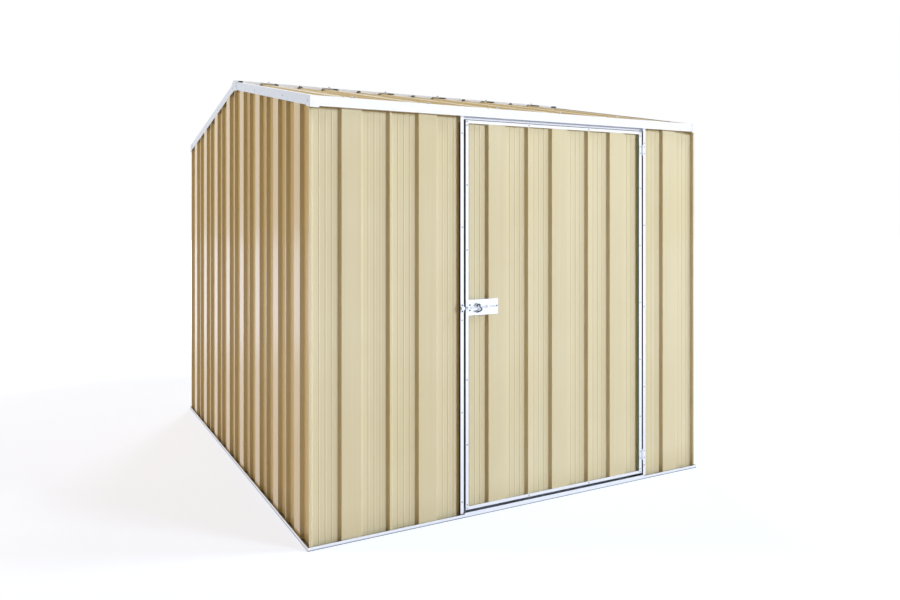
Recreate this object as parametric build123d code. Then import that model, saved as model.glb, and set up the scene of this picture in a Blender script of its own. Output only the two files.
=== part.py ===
from build123d import *
import os
from math import atan2, cos, radians, tan

# Garden tool shed of ribbed prepainted steel sheet with zinc-coated edge trims.
# Millimetres, +Z up, front towards -Y. The origin is on the ground under the middle of the shed.

# Sheet profile: a narrow lap rib on every module line and a broad rib half way between.
MODULE = 346.0
FRONT_MODULE_COUNT = 6
SIDE_MODULE_COUNT = 8
SHEET_MODULE_COUNT = 2
SHEET = 0.8
RIB = 16.0
FLANK = 9.0
LAP_RIB = 27.0
BROAD_RIB = 104.0
FLUTE_COUNT = 3
FLUTE_WIDTH = 7.0
FLUTE_RISE = 1.2
LAP_GAP = 0.2
TONGUE_INSET = 2.5

# Trims, rails and the rest clearance between pieces that sit on each other.
TRIM = 1.2
FIT = 0.3

# Base channel round the foot of the walls.
BASE_LEDGE = 8.0
BASE_LIP = 15.0

# Corner flashing feet, which lie on the pans beside each corner.
CORNER_FOOT = 10.0

# Roof.
PITCH = 10.0
EAVE_HEIGHT = 1824.0
EAVE_OVERHANG = 12.0
ROOF_END_GAP = 6.0
RIDGE_OPENING = 12.0
FASCIA_HEIGHT = 41.0
FASCIA_FLANGE = 28.0
FASCIA_RETURN = 15.0
BARGE_HEIGHT = 42.0
BARGE_FLANGE = 30.0
COVER_HEIGHT = 47.0
CORNER_COVER_SIDE = 55.0
CORNER_COVER_FRONT = 37.0
PEAK_COVER_HALF = 58.0
RAIL_HEIGHT = 24.0
RAIL_FLANGE = 30.0
RIDGE_BEAM_WING = 45.0
RIDGE_BEAM_LIP = 20.0
CAP_WING = 50.0
CAP_STAND = 10.0
CAP_NOTCH_SIDE = 4.0
CAP_NOTCH_ROOM = 8.0
CAP_RELIEF_WIDTH = 30.0
CAP_RELIEF_HEIGHT = 6.0

# Doorway: its jambs stand by module lines 2 and 5 of the front wall.
MODULE_COUNT_BEFORE_DOOR = 2
DOOR_MODULE_COUNT = 3
LATCH_JAMB_SET_IN = 2.0
HINGE_JAMB_SET_IN = 3.0
JAMB_FLANGE = 16.0
LATCH_GAP = 10.0
HINGE_GAP = 12.0
DOOR_BOTTOM = 31.0
DOOR_TOP_GAP = 5.0
DOOR_FLANGE = 14.0
HEAD_HEIGHT = 36.0
HEAD_FLANGE = 20.0

# Hinges.
HINGE_HEIGHT = 54.0
HINGE_FROM_EDGE = 95.0
HINGE_PLATE = 1.5
HINGE_PLATE_WIDTH = 20.0
KNUCKLE_RADIUS = 4.0
PIN_RADIUS = 2.0
PIN_CLEARANCE = 0.1
KNUCKLE_GAP = 0.4

# Slide latch.
LATCH_HEIGHT = 937.0
LATCH_PLATE_LENGTH = 163.0
LATCH_PLATE_HEIGHT = 71.0
LATCH_PLATE_INSET = 2.0
BOLT_RADIUS = 4.0
BOLT_LENGTH = 149.0
BOLT_TIP = 3.0
BOLT_CLEARANCE = 0.3
GUIDE_LENGTH = 8.0
GUIDE_WALL = 2.0
FIRST_GUIDE_INSET = 4.0
SECOND_GUIDE_INSET = 103.0
KNOB_INSET = 57.0
KNOB_RADIUS = 4.5
KNOB_LENGTH = 10.0
KEEPER_HEIGHT = 40.0
KEEPER_CLEARANCE = 0.8

# Derived lines of the walls. The pan face is the outer face of the sheet between its ribs.
LAP_CREST = LAP_RIB - 2 * FLANK
WALL_X = FRONT_MODULE_COUNT * MODULE / 2 + LAP_CREST / 2
WALL_Y = SIDE_MODULE_COUNT * MODULE / 2 + LAP_CREST / 2
PAN_X = WALL_X - RIB
PAN_Y = WALL_Y - RIB
BASE_X = WALL_X + BASE_LEDGE
BASE_Y = WALL_Y + BASE_LEDGE
FASCIA_Y = BASE_Y + EAVE_OVERHANG
BARGE_X = WALL_X + FIT + TRIM
INNER_X = PAN_X - SHEET - FIT
INNER_Y = PAN_Y - SHEET - FIT
FOOT_Z = TRIM + FIT
SLOPE = tan(radians(PITCH))
RIDGE_HEIGHT = EAVE_HEIGHT + PAN_Y * SLOPE

# Levels above the pan face at which the grip channels and the door hardware lie.
GRIP_FRONT = RIB + FIT
GRIP_BACK = SHEET + FIT
FLANGE_FACE = GRIP_FRONT + TRIM
PLATE_BACK = FLANGE_FACE + FIT
PLATE_FACE = PLATE_BACK + HINGE_PLATE

# Doorway lines.
LATCH_LINE = MODULE_COUNT_BEFORE_DOOR - FRONT_MODULE_COUNT / 2
OPENING_LEFT = LATCH_LINE * MODULE + LATCH_JAMB_SET_IN
OPENING_RIGHT = (LATCH_LINE + DOOR_MODULE_COUNT) * MODULE - HINGE_JAMB_SET_IN
LEAF_LEFT = OPENING_LEFT + LATCH_GAP
LEAF_RIGHT = OPENING_RIGHT - HINGE_GAP


def roof_z(y, above=0.0):
    """Height of the roof at y, measured a given distance square to the slope from its underside."""
    return RIDGE_HEIGHT - abs(y) * SLOPE + above / cos(radians(PITCH))


WALL_TOP = roof_z(WALL_Y) - FIT
RAIL_BOTTOM = roof_z(INNER_Y) - RAIL_HEIGHT
HEAD_BOTTOM = WALL_TOP - HEAD_HEIGHT
DOOR_TOP = HEAD_BOTTOM - DOOR_TOP_GAP
TRIM_SEAT = SHEET + RIB + FIT
CAP_SEAT = SHEET + RIB + CAP_STAND


def prism(points, direction, length):
    """Solid swept straight from a flat closed outline."""
    return extrude(make_face(Polyline(*points, close=True)), amount=length, dir=direction)


def upright(section, place, bottom, top):
    """Vertical solid from an outline in wall terms: along the wall and out from its pan face."""
    return prism([(*place(s, u), bottom) for s, u in section], (0, 0, 1), top - bottom)


def across(outline, left, right):
    """Solid along X from an outline in Y and Z."""
    return prism([(left, y, z) for y, z in outline], (1, 0, 0), right - left)


def front(s, u):
    return (s, -(PAN_Y + u))


def back(s, u):
    return (s, PAN_Y + u)


def left_side(s, u):
    return (-(PAN_X + u), s)


def half_turn(shape):
    """The same piece on the opposite side of the shed."""
    return shape.rotate(Axis.Z, 180)


def onto_slope(shape, down):
    """Lay a piece drawn along +Y on the front slope, with its start this far down from the ridge."""
    tilted = shape.rotate(Axis.X, PITCH)
    return tilted.moved(Location((0, -down, roof_z(down))))


# Ribbed sheet. Every point of its outer line is (along, out, turn): turn is 1 where the line
# rises to a crest, -1 where it falls to a pan, and 0 where it only ends or creases.
def rib(centre, base):
    half = base / 2
    return [
        (centre - half, 0, 1),
        (centre - half + FLANK, RIB, 1),
        (centre + half - FLANK, RIB, -1),
        (centre + half, 0, -1),
    ]


def flutes(start, end):
    """Shallow stiffening creases, evenly spaced over one pan."""
    step = (end - start) / (FLUTE_COUNT + 1)
    points = []
    for i in range(FLUTE_COUNT):
        centre = start + (i + 1) * step
        points += [
            (centre - FLUTE_WIDTH / 2, 0, 0),
            (centre, FLUTE_RISE, 0),
            (centre + FLUTE_WIDTH / 2, 0, 0),
        ]
    return points


def module_line(lap):
    """Outer line of one module, from the foot of one lap rib to the foot of the next."""
    middle = lap + MODULE / 2
    first_pan = (lap + LAP_RIB / 2, middle - BROAD_RIB / 2)
    second_pan = (middle + BROAD_RIB / 2, lap + MODULE - LAP_RIB / 2)
    return flutes(*first_pan) + rib(middle, BROAD_RIB) + flutes(*second_pan)


def tongue_edge(lap):
    """Left edge that slides under the neighbour's lap rib."""
    drop = SHEET + LAP_GAP
    half = LAP_CREST / 2
    return [
        (lap - half + TONGUE_INSET, RIB - drop, 0),
        (lap + half + FLANK * drop / RIB, RIB - drop, -1),
        (lap + half + FLANK, 0, -1),
    ]


def cover_edge(lap):
    """Right edge whose crest covers the neighbour's tongue, or ends at the verge."""
    half = LAP_CREST / 2
    return [(lap - half - FLANK, 0, 1), (lap - half, RIB, 1), (lap + half, RIB, 0)]


def crest_edge(start, lap):
    """Left edge that starts on the crest of a lap rib, as at the verge and in the hinge jamb."""
    half = LAP_CREST / 2
    return [(start, RIB, 0), (lap + half, RIB, -1), (lap + half + FLANK, 0, -1)]


def pan_edge(place):
    return [(place, 0, 0)]


def ribbed_section(first_lap, modules, start_edge, end_edge):
    """Closed outline of a ribbed sheet of even thickness between two edges."""
    line = []
    for i in range(modules):
        lap = first_lap + i * MODULE
        line += module_line(lap)
        if i + 1 < modules:
            line += rib(lap + MODULE, LAP_RIB)
    low, high = start_edge[-1][0], end_edge[0][0]
    line = start_edge + [p for p in line if low < p[0] < high] + end_edge
    shift = SHEET * tan(atan2(RIB, FLANK) / 2)
    outer = [(s, u) for s, u, turn in line]
    inner = [(s + turn * shift, u - SHEET) for s, u, turn in line]
    return outer + inner[::-1]


def run_of_sheets(count, first_lap, first_edge, last_edge):
    """Outlines of neighbouring sheets, each lapped over the next."""
    sections = []
    for i in range(count):
        lap = first_lap + i * SHEET_MODULE_COUNT * MODULE
        next_lap = lap + SHEET_MODULE_COUNT * MODULE
        start = first_edge if i == 0 else tongue_edge(lap)
        end = last_edge if i == count - 1 else cover_edge(next_lap)
        sections.append(ribbed_section(lap, SHEET_MODULE_COUNT, start, end))
    return sections


def front_lap(number):
    return (number - FRONT_MODULE_COUNT / 2) * MODULE


def front_wall_sheets():
    door_end = MODULE_COUNT_BEFORE_DOOR + DOOR_MODULE_COUNT
    left = ribbed_section(
        front_lap(0), MODULE_COUNT_BEFORE_DOOR, pan_edge(-INNER_X), pan_edge(OPENING_LEFT - TRIM - FIT)
    )
    right = ribbed_section(
        front_lap(door_end),
        FRONT_MODULE_COUNT - door_end,
        crest_edge(OPENING_RIGHT + TRIM + FIT, front_lap(door_end)),
        pan_edge(INNER_X),
    )
    return {
        "front_wall_left_sheet": upright(left, front, FOOT_Z, WALL_TOP),
        "front_wall_right_sheet": upright(right, front, FOOT_Z, WALL_TOP),
    }


def back_wall_sheets():
    count = FRONT_MODULE_COUNT // SHEET_MODULE_COUNT
    sections = run_of_sheets(count, front_lap(0), pan_edge(-INNER_X), pan_edge(INNER_X))
    return {
        f"back_wall_sheet_{i + 1}": upright(section, back, FOOT_Z, WALL_TOP)
        for i, section in enumerate(sections)
    }


def side_wall_sheets():
    """Gable walls: sheets cut to the roof's slope at the top."""
    count = SIDE_MODULE_COUNT // SHEET_MODULE_COUNT
    first_lap = -SIDE_MODULE_COUNT * MODULE / 2
    sections = run_of_sheets(count, first_lap, pan_edge(-PAN_Y), pan_edge(PAN_Y))
    gable = [
        (-BASE_Y, 0),
        (-BASE_Y, roof_z(BASE_Y, -FIT)),
        (0, roof_z(0, -FIT)),
        (BASE_Y, roof_z(BASE_Y, -FIT)),
        (BASE_Y, 0),
    ]
    under_roof = across(gable, -BASE_X, 0)
    nodes = {}
    for i, section in enumerate(sections):
        sheet = upright(section, left_side, FOOT_Z, RIDGE_HEIGHT) & under_roof
        nodes[f"left_wall_sheet_{i + 1}"] = sheet
        nodes[f"right_wall_sheet_{i + 1}"] = half_turn(sheet)
    return nodes


def corner_flashings():
    """Folded cover strips: half a lap rib on each face of the corner, with a foot on each pan."""
    near = FLANK + LAP_CREST
    foot = near + CORNER_FOOT
    level = RIB - FIT - SHEET
    shift = SHEET * tan(atan2(RIB, FLANK) / 2)
    outer = [
        (level, foot),
        (level, near),
        (0, LAP_CREST),
        (0, 0),
        (LAP_CREST, 0),
        (near, level),
        (foot, level),
    ]
    inner = [
        (level + SHEET, foot),
        (level + SHEET, near - shift),
        (SHEET, LAP_CREST - shift),
        (SHEET, SHEET),
        (LAP_CREST - shift, SHEET),
        (near - shift, level + SHEET),
        (foot, level + SHEET),
    ]
    corner = [(WALL_X - a, WALL_Y - b) for a, b in outer + inner[::-1]]
    pieces = []
    for side_x in (-1, 1):
        for side_y in (-1, 1):
            points = [(side_x * x, side_y * y, FOOT_Z) for x, y in corner]
            pieces.append(prism(points, (0, 0, 1), WALL_TOP - FOOT_Z))
    return {"corner_flashings": Compound(children=pieces)}


def base_channels():
    """Open channels on the ground, mitred at the corners; the walls stand in them."""
    depth_out = RIB + BASE_LEDGE
    depth_in = GRIP_BACK + TRIM + FIT + TRIM
    section = [
        (depth_out, 0),
        (depth_out, BASE_LIP),
        (depth_out - TRIM, BASE_LIP),
        (depth_out - TRIM, TRIM),
        (TRIM - depth_in, TRIM),
        (TRIM - depth_in, BASE_LIP),
        (-depth_in, BASE_LIP),
        (-depth_in, 0),
    ]
    joint = FIT / 2
    inset = depth_out + depth_in

    def mitred(half_length, half_depth, place):
        bar = prism(
            [(-half_length, -(half_depth - depth_out + u), z) for u, z in section],
            (1, 0, 0),
            2 * half_length,
        )
        plan = [
            (-half_length + joint, -half_depth, 0),
            (half_length - joint, -half_depth, 0),
            (half_length - inset - joint, inset - half_depth, 0),
            (inset + joint - half_length, inset - half_depth, 0),
        ]
        return (bar & prism(plan, (0, 0, 1), BASE_LIP)).rotate(Axis.Z, place)

    return {
        "base_channel_front": mitred(BASE_X, BASE_Y, 0),
        "base_channel_right": mitred(BASE_Y, BASE_X, 90),
        "base_channel_back": mitred(BASE_X, BASE_Y, 180),
        "base_channel_left": mitred(BASE_Y, BASE_X, 270),
    }


def rails():
    """Folded angles inside the wall tops that carry the roof."""
    under = -FIT - TRIM
    eave = [
        (-INNER_Y, RAIL_BOTTOM),
        (-INNER_Y, roof_z(INNER_Y, -FIT)),
        (RAIL_FLANGE - INNER_Y, roof_z(INNER_Y - RAIL_FLANGE, -FIT)),
        (RAIL_FLANGE - INNER_Y, roof_z(INNER_Y - RAIL_FLANGE, under)),
        (TRIM - INNER_Y, roof_z(INNER_Y - TRIM, under)),
        (TRIM - INNER_Y, RAIL_BOTTOM),
    ]
    eave_rail = across(eave, -INNER_X, INNER_X)
    low_end = RAIL_FLANGE - INNER_Y + FIT
    high_end = -FIT / 2

    def rake(top, bottom):
        return [
            (low_end, roof_z(low_end, top)),
            (high_end, roof_z(high_end, top)),
            (high_end, roof_z(high_end, bottom)),
            (low_end, roof_z(low_end, bottom)),
        ]

    web = across(rake(-FIT, -RAIL_HEIGHT), -INNER_X, TRIM - INNER_X)
    flange = across(rake(-FIT, under), -INNER_X, RAIL_FLANGE - INNER_X)
    rail = web + flange
    mirrored = rail.mirror(Plane.XZ)
    wing = RIDGE_BEAM_WING
    beam = [
        (0, roof_z(0, -FIT)),
        (wing, roof_z(wing, -FIT)),
        (wing, roof_z(wing, -FIT) - RIDGE_BEAM_LIP),
        (wing - TRIM, roof_z(wing, -FIT) - RIDGE_BEAM_LIP),
        (wing - TRIM, roof_z(wing - TRIM, under)),
        (0, roof_z(0, under)),
    ]
    beam += [(-y, z) for y, z in beam[-2:0:-1]]
    beam_end = INNER_X - RAIL_FLANGE - FIT
    return {
        "eave_rails": Compound(children=[eave_rail, half_turn(eave_rail)]),
        "gable_rails": Compound(
            children=[rail, mirrored, half_turn(rail), half_turn(mirrored)]
        ),
        "ridge_beam": across(beam, -beam_end, beam_end),
    }


def roof_sheets():
    count = FRONT_MODULE_COUNT // SHEET_MODULE_COUNT
    verge = front_lap(0)
    sections = run_of_sheets(
        count, verge, crest_edge(verge - LAP_CREST / 2, verge), cover_edge(front_lap(FRONT_MODULE_COUNT))
    )
    low = FASCIA_Y - TRIM - ROOF_END_GAP
    length = (low - RIDGE_OPENING) / cos(radians(PITCH))
    nodes = {}
    for i, section in enumerate(sections):
        flat = prism([(s, 0, u + SHEET) for s, u in section], (0, 1, 0), length)
        sheet = onto_slope(flat, low)
        nodes[f"front_roof_sheet_{i + 1}"] = sheet
        nodes[f"back_roof_sheet_{i + 1}"] = half_turn(sheet)
    return nodes


def fascias():
    """Folded strips over the eave ends of the roof sheets."""
    top = TRIM_SEAT + TRIM
    bottom = roof_z(FASCIA_Y, top) - FASCIA_HEIGHT
    flange_end = FASCIA_Y - FASCIA_FLANGE
    inner = FASCIA_Y - TRIM
    outline = [
        (-FASCIA_Y, bottom),
        (-FASCIA_Y, roof_z(FASCIA_Y, top)),
        (-flange_end, roof_z(flange_end, top)),
        (-flange_end, roof_z(flange_end, TRIM_SEAT)),
        (-inner, roof_z(inner, TRIM_SEAT)),
        (-inner, bottom + TRIM),
        (FASCIA_RETURN - FASCIA_Y, bottom + TRIM),
        (FASCIA_RETURN - FASCIA_Y, bottom),
    ]
    half = BARGE_X - BARGE_FLANGE - FIT
    fascia = across(outline, -half, half)
    return {"front_fascia": fascia, "back_fascia": half_turn(fascia)}


def barges():
    """Folded angles over the verges, flat against the crests of the gable walls."""
    top = TRIM_SEAT + TRIM
    drop = top - BARGE_HEIGHT
    peak = -FIT / 2

    def rake(high, low):
        return [
            (-FASCIA_Y, roof_z(FASCIA_Y, high)),
            (peak, roof_z(peak, high)),
            (peak, roof_z(peak, low)),
            (-FASCIA_Y, roof_z(FASCIA_Y, low)),
        ]

    web = across(rake(top, drop), -BARGE_X, TRIM - BARGE_X)
    flange = across(rake(top, TRIM_SEAT), -BARGE_X, BARGE_FLANGE - BARGE_X)
    barge = web + flange
    mirrored = barge.mirror(Plane.XZ)
    return {
        "left_barges": Compound(children=[barge, mirrored]),
        "right_barges": Compound(children=[half_turn(barge), half_turn(mirrored)]),
    }


def barge_covers():
    """Folded covers where the barges end: round the eave corners, and over the peaks and cap ends."""
    seat = TRIM_SEAT + TRIM
    outer_x = BARGE_X + FIT + TRIM
    outer_y = FASCIA_Y + FIT + TRIM

    def strip(stations, top, left, right):
        upper = [(y, roof_z(y, top)) for y in stations]
        lower = [(y, roof_z(y, seat) - COVER_HEIGHT) for y in stations]
        return across(upper + lower[::-1], left, right)

    side = strip((-outer_y, CORNER_COVER_SIDE - outer_y), seat, -outer_x, TRIM - outer_x)
    end = strip((-outer_y, TRIM - outer_y), seat, -outer_x, CORNER_COVER_FRONT - outer_x)
    corner = side + end
    mirrored = corner.mirror(Plane.XZ)
    peak_line = (-PEAK_COVER_HALF, 0, PEAK_COVER_HALF)
    peak = strip(peak_line, CAP_SEAT + TRIM, -outer_x, TRIM - outer_x)
    left_covers = [corner, mirrored, peak]
    covers = left_covers + [half_turn(cover) for cover in left_covers]
    return {"barge_covers": Compound(children=covers)}


def ridge_cap():
    """Folded cap over the ridge. Its lips reach down to the pans, are notched round every rib and
    stand clear of the pans beside the lap ribs."""
    chevron = [
        (0, roof_z(0, CAP_SEAT + TRIM)),
        (CAP_WING, roof_z(CAP_WING, CAP_SEAT + TRIM)),
        (CAP_WING, roof_z(CAP_WING, CAP_SEAT)),
        (0, roof_z(0, CAP_SEAT)),
        (-CAP_WING, roof_z(CAP_WING, CAP_SEAT)),
        (-CAP_WING, roof_z(CAP_WING, CAP_SEAT + TRIM)),
    ]
    cap = across(chevron, -BARGE_X, BARGE_X)
    pan = SHEET + FLUTE_RISE + FIT
    notch = SHEET + RIB + CAP_NOTCH_ROOM
    fold = CAP_SEAT + TRIM / 2

    def half_notch(base, relief):
        """Half of a notch, from the pan beside a rib to the notch's top: out from the rib's middle."""
        foot = base / 2 + CAP_NOTCH_SIDE
        shoulder = [(foot, pan)]
        if relief:
            far = foot + CAP_RELIEF_WIDTH
            shoulder = [(far, pan), (far, pan + CAP_RELIEF_HEIGHT), (foot, pan + CAP_RELIEF_HEIGHT)]
        return shoulder + [(foot - FLANK, notch)]

    edge = []
    for i in range(FRONT_MODULE_COUNT):
        lap = front_lap(i)
        ribs = [(lap + MODULE / 2, half_notch(BROAD_RIB, False))]
        if i + 1 < FRONT_MODULE_COUNT:
            ribs.append((lap + MODULE, half_notch(LAP_RIB, True)))
        for centre, half in ribs:
            edge += [(centre - s, n) for s, n in half] + [(centre + s, n) for s, n in half[::-1]]
    end = BARGE_X - BARGE_FLANGE - CAP_NOTCH_SIDE
    outline = [(-end, fold), (-end, pan)] + edge + [(end, pan), (end, fold)]
    comb = prism([(x, 0, n) for x, n in outline], (0, 1, 0), TRIM)
    lip = onto_slope(comb, CAP_WING - CAP_SEAT * SLOPE * cos(radians(PITCH)))
    return {"ridge_cap": cap + lip + half_turn(lip)}


def grip_channel(edge, toward, flange):
    """Channel outline that grips a sheet: web at the edge, flanges over its crests and behind it."""
    tip = edge + toward * flange
    inside = edge + toward * TRIM
    return [
        (edge, -GRIP_BACK - TRIM),
        (tip, -GRIP_BACK - TRIM),
        (tip, -GRIP_BACK),
        (inside, -GRIP_BACK),
        (inside, GRIP_FRONT),
        (tip, GRIP_FRONT),
        (tip, FLANGE_FACE),
        (edge, FLANGE_FACE),
    ]


def door_frame():
    """Jambs beside the doorway and the head over it."""
    top = RAIL_BOTTOM - FIT
    left = upright(grip_channel(OPENING_LEFT, -1, JAMB_FLANGE), front, FOOT_Z, top)
    right = upright(grip_channel(OPENING_RIGHT, 1, JAMB_FLANGE), front, FOOT_Z, top)
    face = PAN_Y - SHEET
    head = [
        (-face - TRIM, HEAD_BOTTOM),
        (-face - TRIM, WALL_TOP),
        (-face, WALL_TOP),
        (-face, HEAD_BOTTOM + TRIM),
        (HEAD_FLANGE - face, HEAD_BOTTOM + TRIM),
        (HEAD_FLANGE - face, HEAD_BOTTOM),
    ]
    return {
        "door_jambs": Compound(children=[left, right]),
        "door_head": across(head, OPENING_LEFT + FIT, OPENING_RIGHT - FIT),
    }


def door_leaf():
    """Ribbed leaf edged all round with grip channels."""
    sheet = ribbed_section(
        front_lap(MODULE_COUNT_BEFORE_DOOR),
        DOOR_MODULE_COUNT,
        pan_edge(LEAF_LEFT + TRIM + FIT),
        pan_edge(LEAF_RIGHT - TRIM - FIT),
    )
    rail_left = LEAF_LEFT + DOOR_FLANGE + FIT
    rail_right = LEAF_RIGHT - DOOR_FLANGE - FIT

    def cross_rail(edge, toward):
        outline = [(-(PAN_Y + u), z) for z, u in grip_channel(edge, toward, DOOR_FLANGE)]
        return across(outline, rail_left, rail_right)

    return {
        "door_sheet": upright(sheet, front, DOOR_BOTTOM + TRIM + FIT, DOOR_TOP - TRIM - FIT),
        "door_latch_stile": upright(
            grip_channel(LEAF_LEFT, 1, DOOR_FLANGE), front, DOOR_BOTTOM, DOOR_TOP
        ),
        "door_hinge_stile": upright(
            grip_channel(LEAF_RIGHT, -1, DOOR_FLANGE), front, DOOR_BOTTOM, DOOR_TOP
        ),
        "door_bottom_rail": cross_rail(DOOR_BOTTOM, 1),
        "door_top_rail": cross_rail(DOOR_TOP, -1),
    }


def hinges():
    """Butt hinges on the faces of the hinge stile and the jamb."""
    axis_x = OPENING_RIGHT - HINGE_GAP / 2
    axis_u = FLANGE_FACE + KNUCKLE_RADIUS
    third = HINGE_HEIGHT / 3
    clear = KNUCKLE_RADIUS + KNUCKLE_GAP

    def barrel(bottom, height, radius):
        x, y = front(axis_x, axis_u)
        barrel_plane = Plane(origin=(x, y, bottom))
        return extrude(barrel_plane * Circle(radius), amount=height)

    def plate(near, far, bottom, height):
        outline = [(near, PLATE_BACK), (far, PLATE_BACK), (far, PLATE_FACE), (near, PLATE_FACE)]
        return upright([(axis_x + s, u) for s, u in outline], front, bottom, bottom + height)

    def jamb_leaf(bottom):
        leaf = plate(clear, HINGE_PLATE_WIDTH, bottom, HINGE_HEIGHT)
        for start in (bottom, bottom + 2 * third):
            leaf += plate(0, clear, start, third)
            leaf += barrel(start, third, KNUCKLE_RADIUS)
        return leaf + barrel(bottom, HINGE_HEIGHT, PIN_RADIUS)

    def door_leaf_plate(bottom):
        start = bottom + third + KNUCKLE_GAP
        height = third - 2 * KNUCKLE_GAP
        leaf = plate(-clear, -HINGE_PLATE_WIDTH, bottom, HINGE_HEIGHT)
        leaf += plate(0, -clear, start, height)
        leaf += barrel(start, height, KNUCKLE_RADIUS)
        return leaf - barrel(bottom, HINGE_HEIGHT, PIN_RADIUS + PIN_CLEARANCE)

    bottoms = (
        DOOR_BOTTOM + HINGE_FROM_EDGE - HINGE_HEIGHT / 2,
        DOOR_TOP - HINGE_FROM_EDGE - HINGE_HEIGHT / 2,
    )
    return {
        "jamb_hinge_leaves": Compound(children=[jamb_leaf(z) for z in bottoms]),
        "door_hinge_leaves": Compound(children=[door_leaf_plate(z) for z in bottoms]),
    }


def latch():
    """Slide bolt in two guides on a plate, with a keeper on the jamb. It is drawn back at rest."""
    bolt_u = PLATE_FACE + BOLT_CLEARANCE + BOLT_RADIUS

    def rod(start, length, radius):
        x, y = front(start, bolt_u)
        return extrude(Plane((x, y, LATCH_HEIGHT), z_dir=(1, 0, 0)) * Circle(radius), amount=length)

    def block(start, length, height, low_u, high_u):
        outline = [(start, low_u), (start + length, low_u), (start + length, high_u), (start, high_u)]
        return upright(outline, front, LATCH_HEIGHT - height / 2, LATCH_HEIGHT + height / 2)

    def guide(start, length, clearance):
        bore = BOLT_RADIUS + clearance
        reach = bore + GUIDE_WALL
        return block(start, length, 2 * reach, PLATE_FACE, bolt_u + reach)

    plate_left = LEAF_LEFT + LATCH_PLATE_INSET
    plate = block(plate_left, LATCH_PLATE_LENGTH, LATCH_PLATE_HEIGHT, PLATE_BACK, PLATE_FACE)
    for inset in (FIRST_GUIDE_INSET, SECOND_GUIDE_INSET):
        plate += guide(plate_left + inset, GUIDE_LENGTH, BOLT_CLEARANCE)
    plate -= rod(plate_left, LATCH_PLATE_LENGTH, BOLT_RADIUS + BOLT_CLEARANCE)

    keeper_left = OPENING_LEFT - JAMB_FLANGE
    keeper = block(keeper_left, JAMB_FLANGE, KEEPER_HEIGHT, PLATE_BACK, PLATE_FACE)
    keeper += guide(keeper_left, JAMB_FLANGE, KEEPER_CLEARANCE)
    keeper -= rod(keeper_left, JAMB_FLANGE, BOLT_RADIUS + KEEPER_CLEARANCE)

    bolt = rod(LEAF_LEFT, BOLT_LENGTH, BOLT_RADIUS)
    tip = bolt.faces().sort_by(Axis.X)[0].edges()
    bolt = chamfer(tip, BOLT_TIP)
    x, y = front(plate_left + KNOB_INSET, bolt_u)
    knob_plane = Plane((x, y, LATCH_HEIGHT), z_dir=(0, -1, 0))
    bolt += extrude(knob_plane * Circle(KNOB_RADIUS), amount=KNOB_LENGTH)
    return {"latch_plate": plate, "latch_keeper": keeper, "slide_bolt": bolt}


def build_shed():
    nodes = {}
    for make in (
        base_channels,
        front_wall_sheets,
        side_wall_sheets,
        back_wall_sheets,
        corner_flashings,
        rails,
        roof_sheets,
        fascias,
        barges,
        barge_covers,
        ridge_cap,
        door_frame,
        door_leaf,
        hinges,
        latch,
    ):
        nodes.update(make())
    return nodes


os.makedirs("parts", exist_ok=True)
for node, shape in build_shed().items():
    export_step(shape, f"parts/{node}.step")
    print(node)
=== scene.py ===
# %% [markdown]
# # A metal tool shed, dressed in Blender
# The shed is a real construction of folded and rolled steel: sheets, channels, trims, hinges and a
# slide bolt. Those pieces arrive as a fixed frame in metres, at their real size. This lesson gives
# them their finishes, drives in the screws and rivets that hold them, adds the thin strips round the
# door, and lights the whole.

from math import pi, radians, tan

import bmesh
import bpy
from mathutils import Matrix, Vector
from mathutils.bvhtree import BVHTree


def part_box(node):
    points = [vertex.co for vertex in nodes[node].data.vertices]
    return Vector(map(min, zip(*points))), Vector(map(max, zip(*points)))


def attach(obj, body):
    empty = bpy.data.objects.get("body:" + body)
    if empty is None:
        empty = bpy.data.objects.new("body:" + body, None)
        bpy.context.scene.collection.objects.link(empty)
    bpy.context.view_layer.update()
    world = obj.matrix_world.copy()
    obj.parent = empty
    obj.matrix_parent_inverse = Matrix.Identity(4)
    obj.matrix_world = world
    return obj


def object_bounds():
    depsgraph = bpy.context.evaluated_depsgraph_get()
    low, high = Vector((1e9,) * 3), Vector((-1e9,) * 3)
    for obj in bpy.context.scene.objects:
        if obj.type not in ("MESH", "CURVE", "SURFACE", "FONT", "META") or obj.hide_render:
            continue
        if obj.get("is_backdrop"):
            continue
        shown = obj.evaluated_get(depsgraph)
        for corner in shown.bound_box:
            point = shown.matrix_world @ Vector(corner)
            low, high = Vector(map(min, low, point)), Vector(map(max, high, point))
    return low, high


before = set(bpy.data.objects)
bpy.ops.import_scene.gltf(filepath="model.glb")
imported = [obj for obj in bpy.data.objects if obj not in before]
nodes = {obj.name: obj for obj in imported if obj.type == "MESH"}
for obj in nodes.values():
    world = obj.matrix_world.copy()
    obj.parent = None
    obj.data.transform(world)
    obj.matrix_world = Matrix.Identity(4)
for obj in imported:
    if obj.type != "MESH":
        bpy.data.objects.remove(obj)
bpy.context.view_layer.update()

# %% [markdown]
# ## One way to write colours, sizes and nodes
# Colours are written as the sRGB hex values that a paint chart shows. Shaders want linear light, so
# one function converts them. Patterns are written by their real size in millimetres, and a texture's
# scale is the number of such sizes in a metre. Another function adds a node with its settings and
# links in a single call, for shaders and for geometry alike, so that a tree reads from top to bottom.

# %% Colour, scale and node helpers
MM = 0.001


def colour(hex_text):
    channels = [int(hex_text[i : i + 2], 16) / 255 for i in (1, 3, 5)]
    linear = [c / 12.92 if c <= 0.04045 else ((c + 0.055) / 1.055) ** 2.4 for c in channels]
    return (*linear, 1.0)


def per_metre(millimetres):
    return 1 / (millimetres * MM)


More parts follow.
